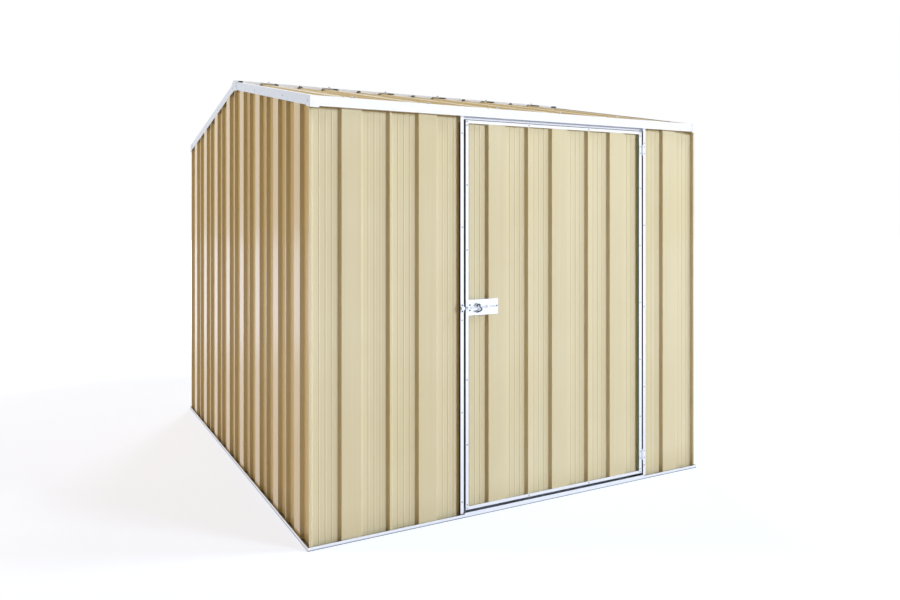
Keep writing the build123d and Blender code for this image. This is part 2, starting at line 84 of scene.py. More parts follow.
def add_node(tree, kind, settings, inputs, stops=()):
    """Add a node, set its properties, feed its inputs with values or sockets, and fill its ramp."""
    node = tree.nodes.new(kind)
    for key, value in settings.items():
        setattr(node, key, value)
    for key, value in inputs.items():
        if isinstance(value, bpy.types.NodeSocket):
            tree.links.new(value, node.inputs[key])
        else:
            node.inputs[key].default_value = value
    for i, (place, value) in enumerate(stops):
        elements = node.color_ramp.elements
        element = elements[i] if i < len(elements) else elements.new(place)
        element.position = place
        element.color = value
    return node


def new_material(name):
    material = bpy.data.materials.new(name)
    material.use_nodes = True
    return material, material.node_tree, material.node_tree.nodes["Principled BSDF"]


def add_object(name, data):
    item = bpy.data.objects.new(name, data)
    bpy.context.scene.collection.objects.link(item)
    return item


print("helpers ready")

# %% [markdown]
# ## Prepainted steel sheet
# The walls, roof and door are thin steel, painted cream in a continuous oven line and then rolled
# into ribs. Rolling leaves faint streaks along the sheet, and dust gathers at the foot of a wall. A
# picture of such a sheet could be wrapped round it, but noise that is stretched along the rolled
# direction has no seams and fits a sheet of any length.

# %% Paint, streaks and dust
CREAM = "#DCD1B5"
CREAM_DEEP = "#D6C9A7"
DUST = "#B59E70"
STREAK_WIDTH = 14.0
STREAK_LENGTH = 1400.0
MOTTLE_SIZE = 420.0
DEEP_UNTIL, CREAM_FROM = 0.1, 0.46
DUST_HEIGHT = 0.16
DUST_SHARE = 0.55


def streaked_paint(tree, place, rolled_along):
    """Cream paint, streaked along the rolled direction and dusty at its foot: its colour and mottle."""
    across, along = per_metre(STREAK_WIDTH), per_metre(STREAK_LENGTH)
    streak_scale = [along if axis == rolled_along else across for axis in range(3)]
    stretched = add_node(
        tree, "ShaderNodeMapping", {}, {"Vector": place.outputs["Object"], "Scale": streak_scale}
    )
    streaks = add_node(
        tree, "ShaderNodeTexNoise", {}, {"Vector": stretched.outputs[0], "Scale": 1.0, "Detail": 3.0}
    )
    mottle = add_node(
        tree,
        "ShaderNodeTexNoise",
        {},
        {"Vector": place.outputs["Object"], "Scale": per_metre(MOTTLE_SIZE), "Detail": 2.0},
    )
    worn = add_node(
        tree,
        "ShaderNodeMath",
        {"operation": "MULTIPLY"},
        {0: streaks.outputs["Fac"], 1: mottle.outputs["Fac"]},
    )
    paint = add_node(
        tree,
        "ShaderNodeValToRGB",
        {},
        {"Fac": worn.outputs[0]},
        stops=((DEEP_UNTIL, colour(CREAM_DEEP)), (CREAM_FROM, colour(CREAM))),
    )
    height = add_node(tree, "ShaderNodeSeparateXYZ", {}, {"Vector": place.outputs["Object"]})
    low = add_node(
        tree,
        "ShaderNodeMapRange",
        {"interpolation_type": "SMOOTHSTEP"},
        {"Value": height.outputs["Z"], "From Max": DUST_HEIGHT, "To Min": DUST_SHARE, "To Max": 0.0},
    )
    dusty = add_node(
        tree, "ShaderNodeMath", {"operation": "MULTIPLY"}, {0: low.outputs[0], 1: streaks.outputs["Fac"]}
    )
    dusted = add_node(
        tree,
        "ShaderNodeMix",
        {"data_type": "RGBA"},
        {0: dusty.outputs[0], 6: paint.outputs["Color"], 7: colour(DUST)},
    )
    return dusted.outputs[2], mottle.outputs["Fac"]


print("paint streaks", STREAK_WIDTH, "mm wide, dust up to", DUST_HEIGHT, "m")

# %% [markdown]
# ## Skin, ripple and back of a sheet
# The baked paint is satin, under a clear skin that turns bright where a wall is seen at a low angle.
# The skin is a coat of its own over the paint, because one roughness can't be both dull from the
# front and bright from the side. Thin steel also ripples a little between its ribs, which a bump is
# enough for. The inner face carries only a grey wash coat. Which face is the inner one follows from
# the normal, so one recipe serves every sheet.

# %% Prepainted sheet finish
WASH_COAT = "#B9B7AE"
BACK_FACING = -0.05
RIPPLE_SIZE = 170.0
RIPPLE_HEIGHT = 0.15 * MM
SHINE_UNDER_SKIN = 0.1
SKIN_ROUGHNESS = 0.2


def wash_coated_back(tree, place, painted_side, paint):
    """Paint on the faces that look to the painted side, and grey wash coat on those that look away."""
    facing = add_node(
        tree,
        "ShaderNodeVectorMath",
        {"operation": "DOT_PRODUCT"},
        {0: place.outputs["Normal"], 1: painted_side},
    )
    back = add_node(
        tree, "ShaderNodeMath", {"operation": "LESS_THAN"}, {0: facing.outputs["Value"], 1: BACK_FACING}
    )
    coated = add_node(
        tree, "ShaderNodeMix", {"data_type": "RGBA"}, {0: back.outputs[0], 6: paint, 7: colour(WASH_COAT)}
    )
    return coated.outputs[2]


def prepainted_sheet(name, painted_side, rolled_along, clear_skin, smooth, dull):
    """Baked paint on rolled steel, its roughness from smooth to dull, under a clear skin."""
    material, tree, shader = new_material(name)
    shader.inputs["Specular IOR Level"].default_value = SHINE_UNDER_SKIN
    shader.inputs["Coat Weight"].default_value = clear_skin
    shader.inputs["Coat Roughness"].default_value = SKIN_ROUGHNESS
    place = add_node(tree, "ShaderNodeTexCoord", {}, {})
    paint, mottle = streaked_paint(tree, place, rolled_along)
    if painted_side:
        paint = wash_coated_back(tree, place, painted_side, paint)
    gloss = add_node(tree, "ShaderNodeMapRange", {}, {"Value": mottle, "To Min": smooth, "To Max": dull})
    ripple = add_node(
        tree,
        "ShaderNodeTexNoise",
        {},
        {"Vector": place.outputs["Object"], "Scale": per_metre(RIPPLE_SIZE), "Detail": 1.0},
    )
    bump = add_node(
        tree,
        "ShaderNodeBump",
        {},
        {"Height": ripple.outputs["Fac"], "Distance": RIPPLE_HEIGHT, "Strength": 1.0},
    )
    tree.links.new(paint, shader.inputs["Base Color"])
    tree.links.new(gloss.outputs[0], shader.inputs["Roughness"])
    tree.links.new(bump.outputs[0], shader.inputs["Normal"])
    return material


print("ripples", RIPPLE_SIZE, "mm wide and", RIPPLE_HEIGHT / MM, "mm high")

# %% Finishes of the sheets
# Prepainted steel: a satin cream, with a white sheen on the ribs of a wall seen along its length.
# The roof has weathered, so its skin is thin and its paint dull.
AXIS_Y, AXIS_Z = 1, 2
WALL_GLOSS = {"clear_skin": 1.0, "smooth": 0.36, "dull": 0.46}
ROOF_GLOSS = {"clear_skin": 0.3, "smooth": 0.42, "dull": 0.54}
sheet_finishes = {
    "front": prepainted_sheet("prepainted_steel_front", (0, -1, 0), AXIS_Z, **WALL_GLOSS),
    "back": prepainted_sheet("prepainted_steel_back", (0, 1, 0), AXIS_Z, **WALL_GLOSS),
    "left": prepainted_sheet("prepainted_steel_left", (-1, 0, 0), AXIS_Z, **WALL_GLOSS),
    "right": prepainted_sheet("prepainted_steel_right", (1, 0, 0), AXIS_Z, **WALL_GLOSS),
    "roof": prepainted_sheet("prepainted_steel_roof", (0, 0, 1), AXIS_Y, **ROOF_GLOSS),
    "corner": prepainted_sheet("prepainted_steel_corner", None, AXIS_Z, **WALL_GLOSS),
}
print("sheet finishes:", ", ".join(sheet_finishes))

# %% [markdown]
# ## Zinc-coated trims
# The channels, fascias, barges and covers are steel dipped in molten zinc and folded. Zinc freezes
# in flat crystals, the spangle, each of which reflects a little differently. A Voronoi texture gives
# each crystal one random value; that value shifts both its tone and its gloss by a small amount. The
# lowest millimetres, where a channel stands on the ground, are painted darker as a contact shadow.

# %% Zinc finish
ZINC_LIGHT = "#F0F2F7"
ZINC_DARK = "#E9ECF3"
ZINC_SMOOTH, ZINC_DULL = 0.29, 0.36
SPANGLE_SIZE = 9.0
# Painted shade: a dark band over the lowest millimetres stands for the contact shadow at the ground.
PAINTED_GROUND_SHADE = "#8A8780"
PAINTED_GROUND_SHADE_LOW, PAINTED_GROUND_SHADE_HIGH = 2 * MM, 6 * MM


def hot_dip_zinc(name):
    """Galvanised steel: a metal with flat crystals of slightly different tone and gloss."""
    material, tree, shader = new_material(name)
    shader.inputs["Metallic"].default_value = 1.0
    place = add_node(tree, "ShaderNodeTexCoord", {}, {})
    crystals = add_node(
        tree,
        "ShaderNodeTexVoronoi",
        {},
        {"Vector": place.outputs["Object"], "Scale": per_metre(SPANGLE_SIZE)},
    )
    tone = add_node(tree, "ShaderNodeSeparateColor", {}, {"Color": crystals.outputs["Color"]})
    metal = add_node(
        tree,
        "ShaderNodeValToRGB",
        {},
        {"Fac": tone.outputs["Red"]},
        stops=((0.0, colour(ZINC_DARK)), (1.0, colour(ZINC_LIGHT))),
    )
    gloss = add_node(
        tree,
        "ShaderNodeMapRange",
        {},
        {"Value": tone.outputs["Green"], "To Min": ZINC_SMOOTH, "To Max": ZINC_DULL},
    )
    height = add_node(tree, "ShaderNodeSeparateXYZ", {}, {"Vector": place.outputs["Object"]})
    unshaded = add_node(
        tree,
        "ShaderNodeMapRange",
        {},
        {"Value": height.outputs["Z"], "From Min": PAINTED_GROUND_SHADE_LOW, "From Max": PAINTED_GROUND_SHADE_HIGH},
    )
    ground_shaded = add_node(
        tree,
        "ShaderNodeMix",
        {"data_type": "RGBA"},
        {0: unshaded.outputs[0], 6: colour(PAINTED_GROUND_SHADE), 7: metal.outputs["Color"]},
    )
    tree.links.new(ground_shaded.outputs[2], shader.inputs["Base Color"])
    tree.links.new(gloss.outputs[0], shader.inputs["Roughness"])
    return material


# Hot-dipped zinc: a bright, cool metal that mirrors its surroundings softly and twinkles a little.
zinc = hot_dip_zinc("galvanised_folded_steel")
print("trim finish:", zinc.name)

# %% [markdown]
# ## Small hardware finishes
# The bolt, its lever, the screws, the rivets and the rubber washers are each of one stuff. Black
# rubber and a pale blue-green are also laid in the door's throats as painted shade. A flat colour
# would be quick, but plated, cast and moulded surfaces are never quite even. So each finish wanders
# between two near shades, over grains a few millimetres across.

# %% Hardware finishes
GRAIN_SIZE = 9.0
DARK_UNTIL, LIGHT_FROM = 0.35, 0.7


def small_hardware(name, dark, light, metallic, roughness):
    """Hardware whose tone wanders from one shade to another over grains of a real size."""
    material, tree, shader = new_material(name)
    shader.inputs["Metallic"].default_value = metallic
    shader.inputs["Roughness"].default_value = roughness
    place = add_node(tree, "ShaderNodeTexCoord", {}, {})
    wander = add_node(
        tree,
        "ShaderNodeTexNoise",
        {},
        {"Vector": place.outputs["Object"], "Scale": per_metre(GRAIN_SIZE), "Detail": 2.0},
    )
    tone = add_node(
        tree,
        "ShaderNodeValToRGB",
        {},
        {"Fac": wander.outputs["Fac"]},
        stops=((DARK_UNTIL, colour(dark)), (LIGHT_FROM, colour(light))),
    )
    tree.links.new(tone.outputs["Color"], shader.inputs["Base Color"])
    return material


# Bright plated zinc: the bolt's rod and most screw heads, nearly as light as the trims.
bolt_finish = small_hardware("bright_zinc_bolt", "#D3D7DE", "#E6E9EE", 1.0, 0.3)
# Enamel: a smooth dark blue with a soft highlight, on the lever.
lever_finish = small_hardware("blue_enamelled_lever", "#16303F", "#24485A", 0.0, 0.35)
# Dark plating: the screws of the latch, which show as dark dots on the bright plate.
screw_finish = small_hardware("dark_plated_screw", "#4A4F57", "#70757D", 1.0, 0.34)
# Plain aluminium: rivets a little duller and greyer than the zinc round them.
rivet_finish = small_hardware("aluminium_rivet", "#A9ADB3", "#C9CCD0", 1.0, 0.4)
# Bare steel down in a recess: nearly black, because little light gets there.
recess_finish = small_hardware("shadowed_recess_steel", "#26282B", "#3A3D41", 0.6, 0.55)
# Moulded rubber: matt black, in the washers; on the latch side's strips the same black is painted shade for
# the dark throats.
rubber_and_shade_finish = small_hardware("rubber_washer_and_throat_shade", "#1B1B1A", "#2A2A28", 0.0, 0.75)
# Painted shade: matt and pale blue-green, the shaded tone of the hinge stile's throat, on the hinge side's
# strip.
pale_shade_finish = small_hardware("pale_throat_shade", "#94C1C6", "#A8D1D6", 0.0, 0.7)
# Paint over a screw head: the sheet's own cream, so that the roof's screws hardly show.
cream_screw_finish = small_hardware("painted_screw_head", CREAM_DEEP, CREAM, 0.0, 0.4)
print("hardware finishes ready")

# %% [markdown]
# ## Finishes on the frame
# Every steel piece of the frame is a sheet, a zinc trim or the bolt, and its name tells which. The
# materials could be given out by hand, piece by piece. Reading the name is shorter, and it stays
# right for any number of sheets.

# %% Put the finishes on the frame
def finish_for(node):
    if node == "door_sheet" or node.startswith("front_wall"):
        return sheet_finishes["front"]
    for side in ("back", "left", "right"):
        if node.startswith(side + "_wall"):
            return sheet_finishes[side]
    if "roof_sheet" in node:
        return sheet_finishes["roof"]
    if node == "corner_flashings":
        return sheet_finishes["corner"]
    return bolt_finish if node == "slide_bolt" else zinc


for name, piece in nodes.items():
    piece.data.materials.clear()
    piece.data.materials.append(finish_for(name))
print("finished", len(nodes), "pieces")

# %% [markdown]
# ## Seats for the fasteners
# Every screw and rivet has to sit on the face that it holds. Instead of working out each face, a
# ray is sent at the piece from outside: where it lands is the seat, and the face's normal is the way
# the fastener points. The place is given, and the piece itself gives the depth.

# %% Seats by ray
OUTSIDE = 3.0
FROM_FRONT = (0, 1, 0)
FROM_ABOVE = (0, 0, -1)
trees = {}


def seat(node, start, direction):
    """First point of a piece along a ray, with the normal of its face there."""
    if node not in trees:
        surface = bmesh.new()
        surface.from_mesh(nodes[node].data)
        trees[node] = BVHTree.FromBMesh(surface)
        surface.free()
    point, normal = trees[node].ray_cast(Vector(start), Vector(direction))[:2]
    if point is None:
        raise ValueError(f"no seat on {node} from {start}")
    return point, normal


print("rays start", OUTSIDE, "m out")

# %% Seats on the roof
MODULE = 0.346
MODULE_COUNT = 6
SHEET_COUNT = 3
SCREW_ASIDE = 26 * MM
EAVE_SCREWS_Y = 1.356
CAP_SCREWS_Y = 0.03
FASCIA_SCREWS_Y = 1.392
lap_lines = [(i - MODULE_COUNT / 2) * MODULE for i in range(MODULE_COUNT + 1)]
broad_ribs = [x + MODULE / 2 for x in lap_lines[:-1]]
ribs_per_sheet = MODULE_COUNT // SHEET_COUNT
roof_seats, cap_seats = [], []
for side, way in (("front", -1), ("back", 1)):
    # The sheets of the back slope are counted from the other side.
    numbers = range(1, SHEET_COUNT + 1) if way < 0 else range(SHEET_COUNT, 0, -1)
    sheets = [f"{side}_roof_sheet_{number}" for number in numbers]
    for i, x in enumerate(broad_ribs):
        sheet = sheets[i // ribs_per_sheet]
        for aside in (-SCREW_ASIDE, SCREW_ASIDE):
            roof_seats.append(seat(sheet, (x + aside, way * EAVE_SCREWS_Y, OUTSIDE), FROM_ABOVE))
        cap_seats.append(seat("ridge_cap", (x, way * CAP_SCREWS_Y, OUTSIDE), FROM_ABOVE))
        cap_seats.append(seat(f"{side}_fascia", (x, way * FASCIA_SCREWS_Y, OUTSIDE), FROM_ABOVE))
print(len(roof_seats), "screws in the roof sheets,", len(cap_seats), "in the cap and fascias")

# %% Seats on the barges and jambs
PITCH = radians(10)
BARGE_RIVETS_Y = (-0.987, -0.466, 0.466, 0.987)
COVER_RIVETS_Y = (-1.372, -0.036, 0.036, 1.372)
RIVET_DROP = 24 * MM
JAMB_RIVETS_Z = (0.07, 0.47, 0.883, 1.3, 1.72)
FLANGE_MIDDLE = 8 * MM
shed_rivets = []
for barges, way in (("left_barges", -1), ("right_barges", 1)):
    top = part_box(barges)[1].z - RIVET_DROP
    for node, places in ((barges, BARGE_RIVETS_Y), ("barge_covers", COVER_RIVETS_Y)):
        for y in places:
            start = (way * OUTSIDE, y, top - abs(y) * tan(PITCH))
            shed_rivets.append(seat(node, start, (-way, 0, 0)))
jamb_low, jamb_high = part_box("door_jambs")
for z in JAMB_RIVETS_Z:
    for x in (jamb_low.x + FLANGE_MIDDLE, jamb_high.x - FLANGE_MIDDLE):
        shed_rivets.append(seat("door_jambs", (x, -OUTSIDE, z), FROM_FRONT))
print(len(shed_rivets), "rivets on the shed")

# %% Seats of the door's rivets
NEAR_END, OFF_END = 7 * MM, 23 * MM
STILE_SPACES = 6
door_rivets = []
for stile in ("door_latch_stile", "door_hinge_stile"):
    low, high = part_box(stile)
    middle = (low.x + high.x) / 2
    ends = [low.z + NEAR_END, low.z + OFF_END, high.z - OFF_END, high.z - NEAR_END]
    spaced = [low.z + (high.z - low.z) * i / STILE_SPACES for i in range(1, STILE_SPACES)]
    door_rivets += [seat(stile, (middle, -OUTSIDE, z), FROM_FRONT) for z in ends + spaced]
for rail in ("door_top_rail", "door_bottom_rail"):
    low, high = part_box(rail)
    middle = (low.z + high.z) / 2
    laps = [x for x in lap_lines if low.x < x < high.x]
    door_rivets += [seat(rail, (x, -OUTSIDE, middle), FROM_FRONT) for x in laps]
print(len(door_rivets), "rivets on the door")

# %% Seats on the hinges and the latch
HINGE_HEIGHT = 54 * MM
HINGE_SCREW_APART = 17 * MM
HINGE_SCREW_INSET = 7 * MM
LATCH_SCREWS = ((18, 12), (18, -12), (157, 2))
KEEPER_SCREW_APART = 14 * MM
leaf_screws, jamb_screws, latch_screws, keeper_screws = [], [], [], []
leaf_low, leaf_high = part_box("door_hinge_leaves")
leaf_x = leaf_low.x + HINGE_SCREW_INSET
jamb_leaf_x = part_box("jamb_hinge_leaves")[1].x - HINGE_SCREW_INSET
for middle in (leaf_low.z + HINGE_HEIGHT / 2, leaf_high.z - HINGE_HEIGHT / 2):
    for z in (middle - HINGE_SCREW_APART, middle + HINGE_SCREW_APART):
        leaf_screws.append(seat("door_hinge_leaves", (leaf_x, -OUTSIDE, z), FROM_FRONT))
        jamb_screws.append(seat("jamb_hinge_leaves", (jamb_leaf_x, -OUTSIDE, z), FROM_FRONT))
plate_low, plate_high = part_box("latch_plate")
latch_z = (plate_low.z + plate_high.z) / 2
for along, up in LATCH_SCREWS:
    start = (plate_low.x + along * MM, -OUTSIDE, latch_z + up * MM)
    latch_screws.append(seat("latch_plate", start, FROM_FRONT))
keeper_low, keeper_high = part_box("latch_keeper")
keeper_x = (keeper_low.x + keeper_high.x) / 2
for z in (latch_z - KEEPER_SCREW_APART, latch_z + KEEPER_SCREW_APART):
    keeper_screws.append(seat("latch_keeper", (keeper_x, -OUTSIDE, z), FROM_FRONT))
print(len(leaf_screws + jamb_screws), "hinge screws,", len(latch_screws + keeper_screws), "latch screws")

# %% [markdown]
# ## Screws and rivets with Geometry Nodes
# A fastener is a short stack of turned forms, repeated at every seat. Copies could be placed by a
# loop, but Geometry Nodes suit a repeat better: one tree builds the stack from a few named sizes,
# puts it on each point, turns it to the point's own direction and spins it by a random angle with a
# fixed seed, as a real driver leaves it.

# %% Inputs and direction of a fastener
SIZES = ("Low radius", "High radius", "Thickness")


def sized_tree(name, layer_count):
    """An empty tree with its named inputs: a seed, and three sizes and a finish for each layer."""
    tree = bpy.data.node_groups.new(name, "GeometryNodeTree")
    tree.interface.new_socket("Geometry", in_out="INPUT", socket_type="NodeSocketGeometry")
    tree.interface.new_socket("Geometry", in_out="OUTPUT", socket_type="NodeSocketGeometry")
    tree.interface.new_socket("Seed", in_out="INPUT", socket_type="NodeSocketInt")
    for number in range(1, layer_count + 1):
        for size in SIZES:
            tree.interface.new_socket(f"{size} {number}", in_out="INPUT", socket_type="NodeSocketFloat")
        tree.interface.new_socket(f"Finish {number}", in_out="INPUT", socket_type="NodeSocketMaterial")
    return tree


def spun_outward(tree, seed):
    """Rotation that stands a fastener on its face and spins it by a random angle."""
    outward = add_node(
        tree, "GeometryNodeInputNamedAttribute", {"data_type": "FLOAT_VECTOR"}, {"Name": "outward"}
    )
    upright = add_node(
        tree, "FunctionNodeAlignRotationToVector", {"axis": "Z"}, {"Vector": outward.outputs["Attribute"]}
    )
    angle = add_node(tree, "FunctionNodeRandomValue", {"data_type": "FLOAT"}, {"Max": 2 * pi, "Seed": seed})
    spin = add_node(
        tree, "FunctionNodeAxisAngleToRotation", {}, {"Axis": (0, 0, 1), "Angle": angle.outputs[1]}
    )
    turned = add_node(
        tree,
        "FunctionNodeRotateRotation",
        {"rotation_space": "LOCAL"},
        {"Rotation": upright.outputs[0], "Rotate By": spin.outputs[0]},
    )
    return turned.outputs[0]


print("a fastener's sizes:", ", ".join(SIZES))

# %% Stack of a fastener
def stack_tree(name, layers):
    """Tree that stacks turned layers on every point. Each layer ends realized and in its own finish."""
    tree = sized_tree(name, len(layers))
    given = tree.nodes.new("NodeGroupInput").outputs
    rotation = spun_outward(tree, given["Seed"])
    joined = add_node(tree, "GeometryNodeJoinGeometry", {}, {})
    height = 0.0
    for number, (sides, *sizes) in enumerate(layers, start=1):
        thickness = given[f"Thickness {number}"]
        form = add_node(
            tree,
            "GeometryNodeMeshCone",
            {},
            {
                "Vertices": sides,
                "Radius Bottom": given[f"Low radius {number}"],
                "Radius Top": given[f"High radius {number}"],
                "Depth": thickness,
            },
        )
        lift = add_node(tree, "ShaderNodeCombineXYZ", {}, {"Z": height})
        lifted = add_node(
            tree,
            "GeometryNodeTransform",
            {},
            {"Geometry": form.outputs["Mesh"], "Translation": lift.outputs[0]},
        )
        placed = add_node(
            tree,
            "GeometryNodeInstanceOnPoints",
            {},
            {"Points": given["Geometry"], "Instance": lifted.outputs[0], "Rotation": rotation},
        )
        real = add_node(tree, "GeometryNodeRealizeInstances", {}, {"Geometry": placed.outputs[0]})
        finished = add_node(
            tree,
            "GeometryNodeSetMaterial",
            {},
            {"Geometry": real.outputs[0], "Material": given[f"Finish {number}"]},
        )
        tree.links.new(finished.outputs[0], joined.inputs[0])
        higher = add_node(tree, "ShaderNodeMath", {"operation": "ADD"}, {0: height, 1: thickness})
        height = higher.outputs[0]
    result = tree.nodes.new("NodeGroupOutput")
    tree.links.new(joined.outputs[0], result.inputs[0])
    return tree


def fasten(name, body, seats, layers, seed):
    """Put one kind of fastener on a body's seats and keep the result as a plain mesh."""
    mesh = bpy.data.meshes.new(name)
    mesh.from_pydata([point for point, normal in seats], [], [])
    outward = mesh.attributes.new("outward", "FLOAT_VECTOR", "POINT")
    for item, (point, normal) in zip(outward.data, seats):
        item.vector = normal
    piece = add_object(name, mesh)
    tree = stack_tree(name + "_tree", layers)
    modifier = piece.modifiers.new("fasteners", "NODES")
    modifier.node_group = tree
    inputs = [item for item in tree.interface.items_tree if item.in_out == "INPUT"]
    identifiers = {item.name: item.identifier for item in inputs}
    modifier[identifiers["Seed"]] = seed
    for number, (sides, *sizes, finish) in enumerate(layers, start=1):
        for size, value in zip(SIZES, sizes):
            modifier[identifiers[f"{size} {number}"]] = value
        modifier[identifiers[f"Finish {number}"]] = finish
    evaluated = piece.evaluated_get(bpy.context.evaluated_depsgraph_get())
    made = bpy.data.meshes.new_from_object(evaluated)
    piece.modifiers.remove(modifier)
    piece.data = made
    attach(piece, body)
    print(name, len(seats), "pieces,", len(made.polygons), "faces")


# %% [markdown]
# ## The kinds of fastener
# A roof screw has a hexagon head and a washer flange on a rubber ring. A pan screw has a low round
# head with a square drive, and a blind rivet has a domed head with the broken end of its pin. Each
# layer gives its number of sides, its lower and upper radius, its thickness and its finish. At this
# size, straight layers read as rounded, so no curve is needed.

# %% Screws and rivets
ROUND, HEXAGON, SQUARE = 18, 6, 4


def roof_screw(finish):
    """Hexagon head with its washer flange on a rubber ring."""
    return (
        (ROUND, 7.5 * MM, 6.6 * MM, 1.6 * MM, rubber_and_shade_finish),
        (ROUND, 6.8 * MM, 5.6 * MM, 1.0 * MM, finish),
        (HEXAGON, 4.6 * MM, 4.6 * MM, 3.2 * MM, finish),
        (HEXAGON, 4.6 * MM, 3.4 * MM, 0.9 * MM, finish),
    )


def pan_screw(finish):
    """Low round head with a square drive."""
    return (
        (ROUND, 4.0 * MM, 3.8 * MM, 0.8 * MM, finish),
        (ROUND, 3.8 * MM, 2.6 * MM, 1.0 * MM, finish),
        (SQUARE, 1.9 * MM, 1.7 * MM, 0.2 * MM, recess_finish),
    )


rivet = (
    (ROUND, 4.0 * MM, 3.7 * MM, 0.5 * MM, rivet_finish),
    (ROUND, 3.7 * MM, 2.0 * MM, 0.9 * MM, rivet_finish),
    (HEXAGON, 1.1 * MM, 0.9 * MM, 0.3 * MM, recess_finish),
)
fasten("roof_screws", "shed", roof_seats, roof_screw(cream_screw_finish), 11)
fasten("cap_screws", "shed", cap_seats, roof_screw(bolt_finish), 12)
fasten("shed_rivets", "shed", shed_rivets, rivet, 13)
fasten("door_rivets", "door", door_rivets, rivet, 14)
fasten("leaf_screws", "door", leaf_screws, pan_screw(bolt_finish), 15)
fasten("jamb_screws", "shed", jamb_screws, pan_screw(bolt_finish), 16)
fasten("latch_screws", "door", latch_screws, pan_screw(screw_finish), 17)
fasten("keeper_screws", "shed", keeper_screws, pan_screw(screw_finish), 18)

# %% [markdown]
# ## Strips along the door's edges
# The latch jamb and the door's stiles grip the sheet in a folded channel. A strip laid in the throat
# of each channel is painted shade: black on the latch side, pale blue-green on the hinge side, the
# tone each throat shows in its shade. A narrow zinc trim also closes the door's hinge edge. All of
# them are long bars of one section, so a box between two corners, with its edges bevelled, is all
# that they need.

# %% Edge strips
STRIP_BEVEL = 1 * MM
BEVEL_STEPS = 2


def bevelled_strip(name, body, finish, low, high):
    """An upright strip between two opposite corners, with its edges softened."""
    mesh = bpy.data.meshes.new(name)
    form = bmesh.new()
    bmesh.ops.create_cube(form, size=1.0)
    for vertex in form.verts:
        share = vertex.co + Vector((0.5, 0.5, 0.5))
        vertex.co = low + (high - low) * share
    bmesh.ops.bevel(form, geom=form.edges, offset=STRIP_BEVEL, segments=BEVEL_STEPS, affect="EDGES")
    form.to_mesh(mesh)
    form.free()
    mesh.materials.append(finish)
    piece = add_object(name, mesh)
    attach(piece, body)
    print(name, round(high.z - low.z, 3), "m long")


# %% Painted shade strips and the hinge edge
JAMB_WIDTH = 16 * MM
SIDE_ROOM = 1.6 * MM
END_ROOM = 16 * MM
HEAD_ROOM = 30 * MM
PAN_Y = 1.3725
PAN_ROOM = 0.4 * MM
STRIP_THICKNESS = 5 * MM
TRIM_WIDTH = 4 * MM
TRIM_DEPTH = 10 * MM
strip_back = -PAN_Y - PAN_ROOM
strip_front = strip_back - STRIP_THICKNESS
# Painted shade: a black strip in the latch jamb's throat stands for the dark gap there.
low = Vector((jamb_low.x + SIDE_ROOM, strip_front, END_ROOM))
high = Vector((jamb_low.x + JAMB_WIDTH - SIDE_ROOM, strip_back, jamb_high.z - HEAD_ROOM))
bevelled_strip("jamb_throat_shade_strip", "shed", rubber_and_shade_finish, low, high)
# Painted shade: black in the latch stile's throat, pale blue-green in the hinge stile's throat.
for stile, name, finish in (
    ("door_latch_stile", "latch_throat_shade_strip", rubber_and_shade_finish),
    ("door_hinge_stile", "hinge_throat_shade_strip", pale_shade_finish),
):
    stile_low, stile_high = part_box(stile)
    low = Vector((stile_low.x + SIDE_ROOM, strip_front, stile_low.z + END_ROOM))
    high = Vector((stile_high.x - SIDE_ROOM, strip_back, stile_high.z - END_ROOM))
    bevelled_strip(name, "door", finish, low, high)
stile_low, stile_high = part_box("door_hinge_stile")
low = Vector((stile_high.x, stile_low.y, stile_low.z))
high = Vector((stile_high.x + TRIM_WIDTH, stile_low.y + TRIM_DEPTH, stile_high.z))
bevelled_strip("hinge_edge_trim", "door", zinc, low, high)

# %% [markdown]
# ## The threshold strip
# In the doorway the front channel carries a folded zinc strip that stands a little higher than the
# channel's own lip and hides the edge that people step over. It is one angle profile along the whole
# doorway, so its outline is drawn once, in the channel's cross-section, and pushed from jamb to jamb.

# %% Threshold strip
THRESHOLD_TOP = 22 * MM
THRESHOLD_FOOT = 1 * MM
THRESHOLD_GAUGE = 1.2 * MM
THRESHOLD_RETURN = 6 * MM
JAMB_ROOM = 1 * MM
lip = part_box("base_channel_front")[0].y
outer = lip - THRESHOLD_GAUGE
outline = (
    (outer, THRESHOLD_FOOT),
    (outer, THRESHOLD_TOP),
    (outer + THRESHOLD_RETURN, THRESHOLD_TOP),
    (outer + THRESHOLD_RETURN, THRESHOLD_TOP - THRESHOLD_GAUGE),
    (lip, THRESHOLD_TOP - THRESHOLD_GAUGE),
    (lip, THRESHOLD_FOOT),
)
from_jamb = jamb_low.x + JAMB_WIDTH + JAMB_ROOM
to_jamb = jamb_high.x - JAMB_WIDTH - JAMB_ROOM
form = bmesh.new()
section = form.faces.new([form.verts.new((from_jamb, y, z)) for y, z in outline])
pushed = bmesh.ops.extrude_face_region(form, geom=[section])
far_end = [item for item in pushed["geom"] if isinstance(item, bmesh.types.BMVert)]
bmesh.ops.translate(form, verts=far_end, vec=(to_jamb - from_jamb, 0, 0))
bmesh.ops.recalc_face_normals(form, faces=form.faces)
mesh = bpy.data.meshes.new("threshold_strip")
form.to_mesh(mesh)
form.free()
mesh.materials.append(zinc)
threshold = add_object("threshold_strip", mesh)
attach(threshold, "shed")
print("threshold strip", round(to_jamb - from_jamb, 3), "m long,", len(mesh.polygons), "faces")

# %% [markdown]
# ## The bolt's lever
# The bolt is pushed by a small bent lever on its knob. It is a bar bent in one plane, so a curve
# with a round bevel gives its shape, and the curve is then turned into a mesh.

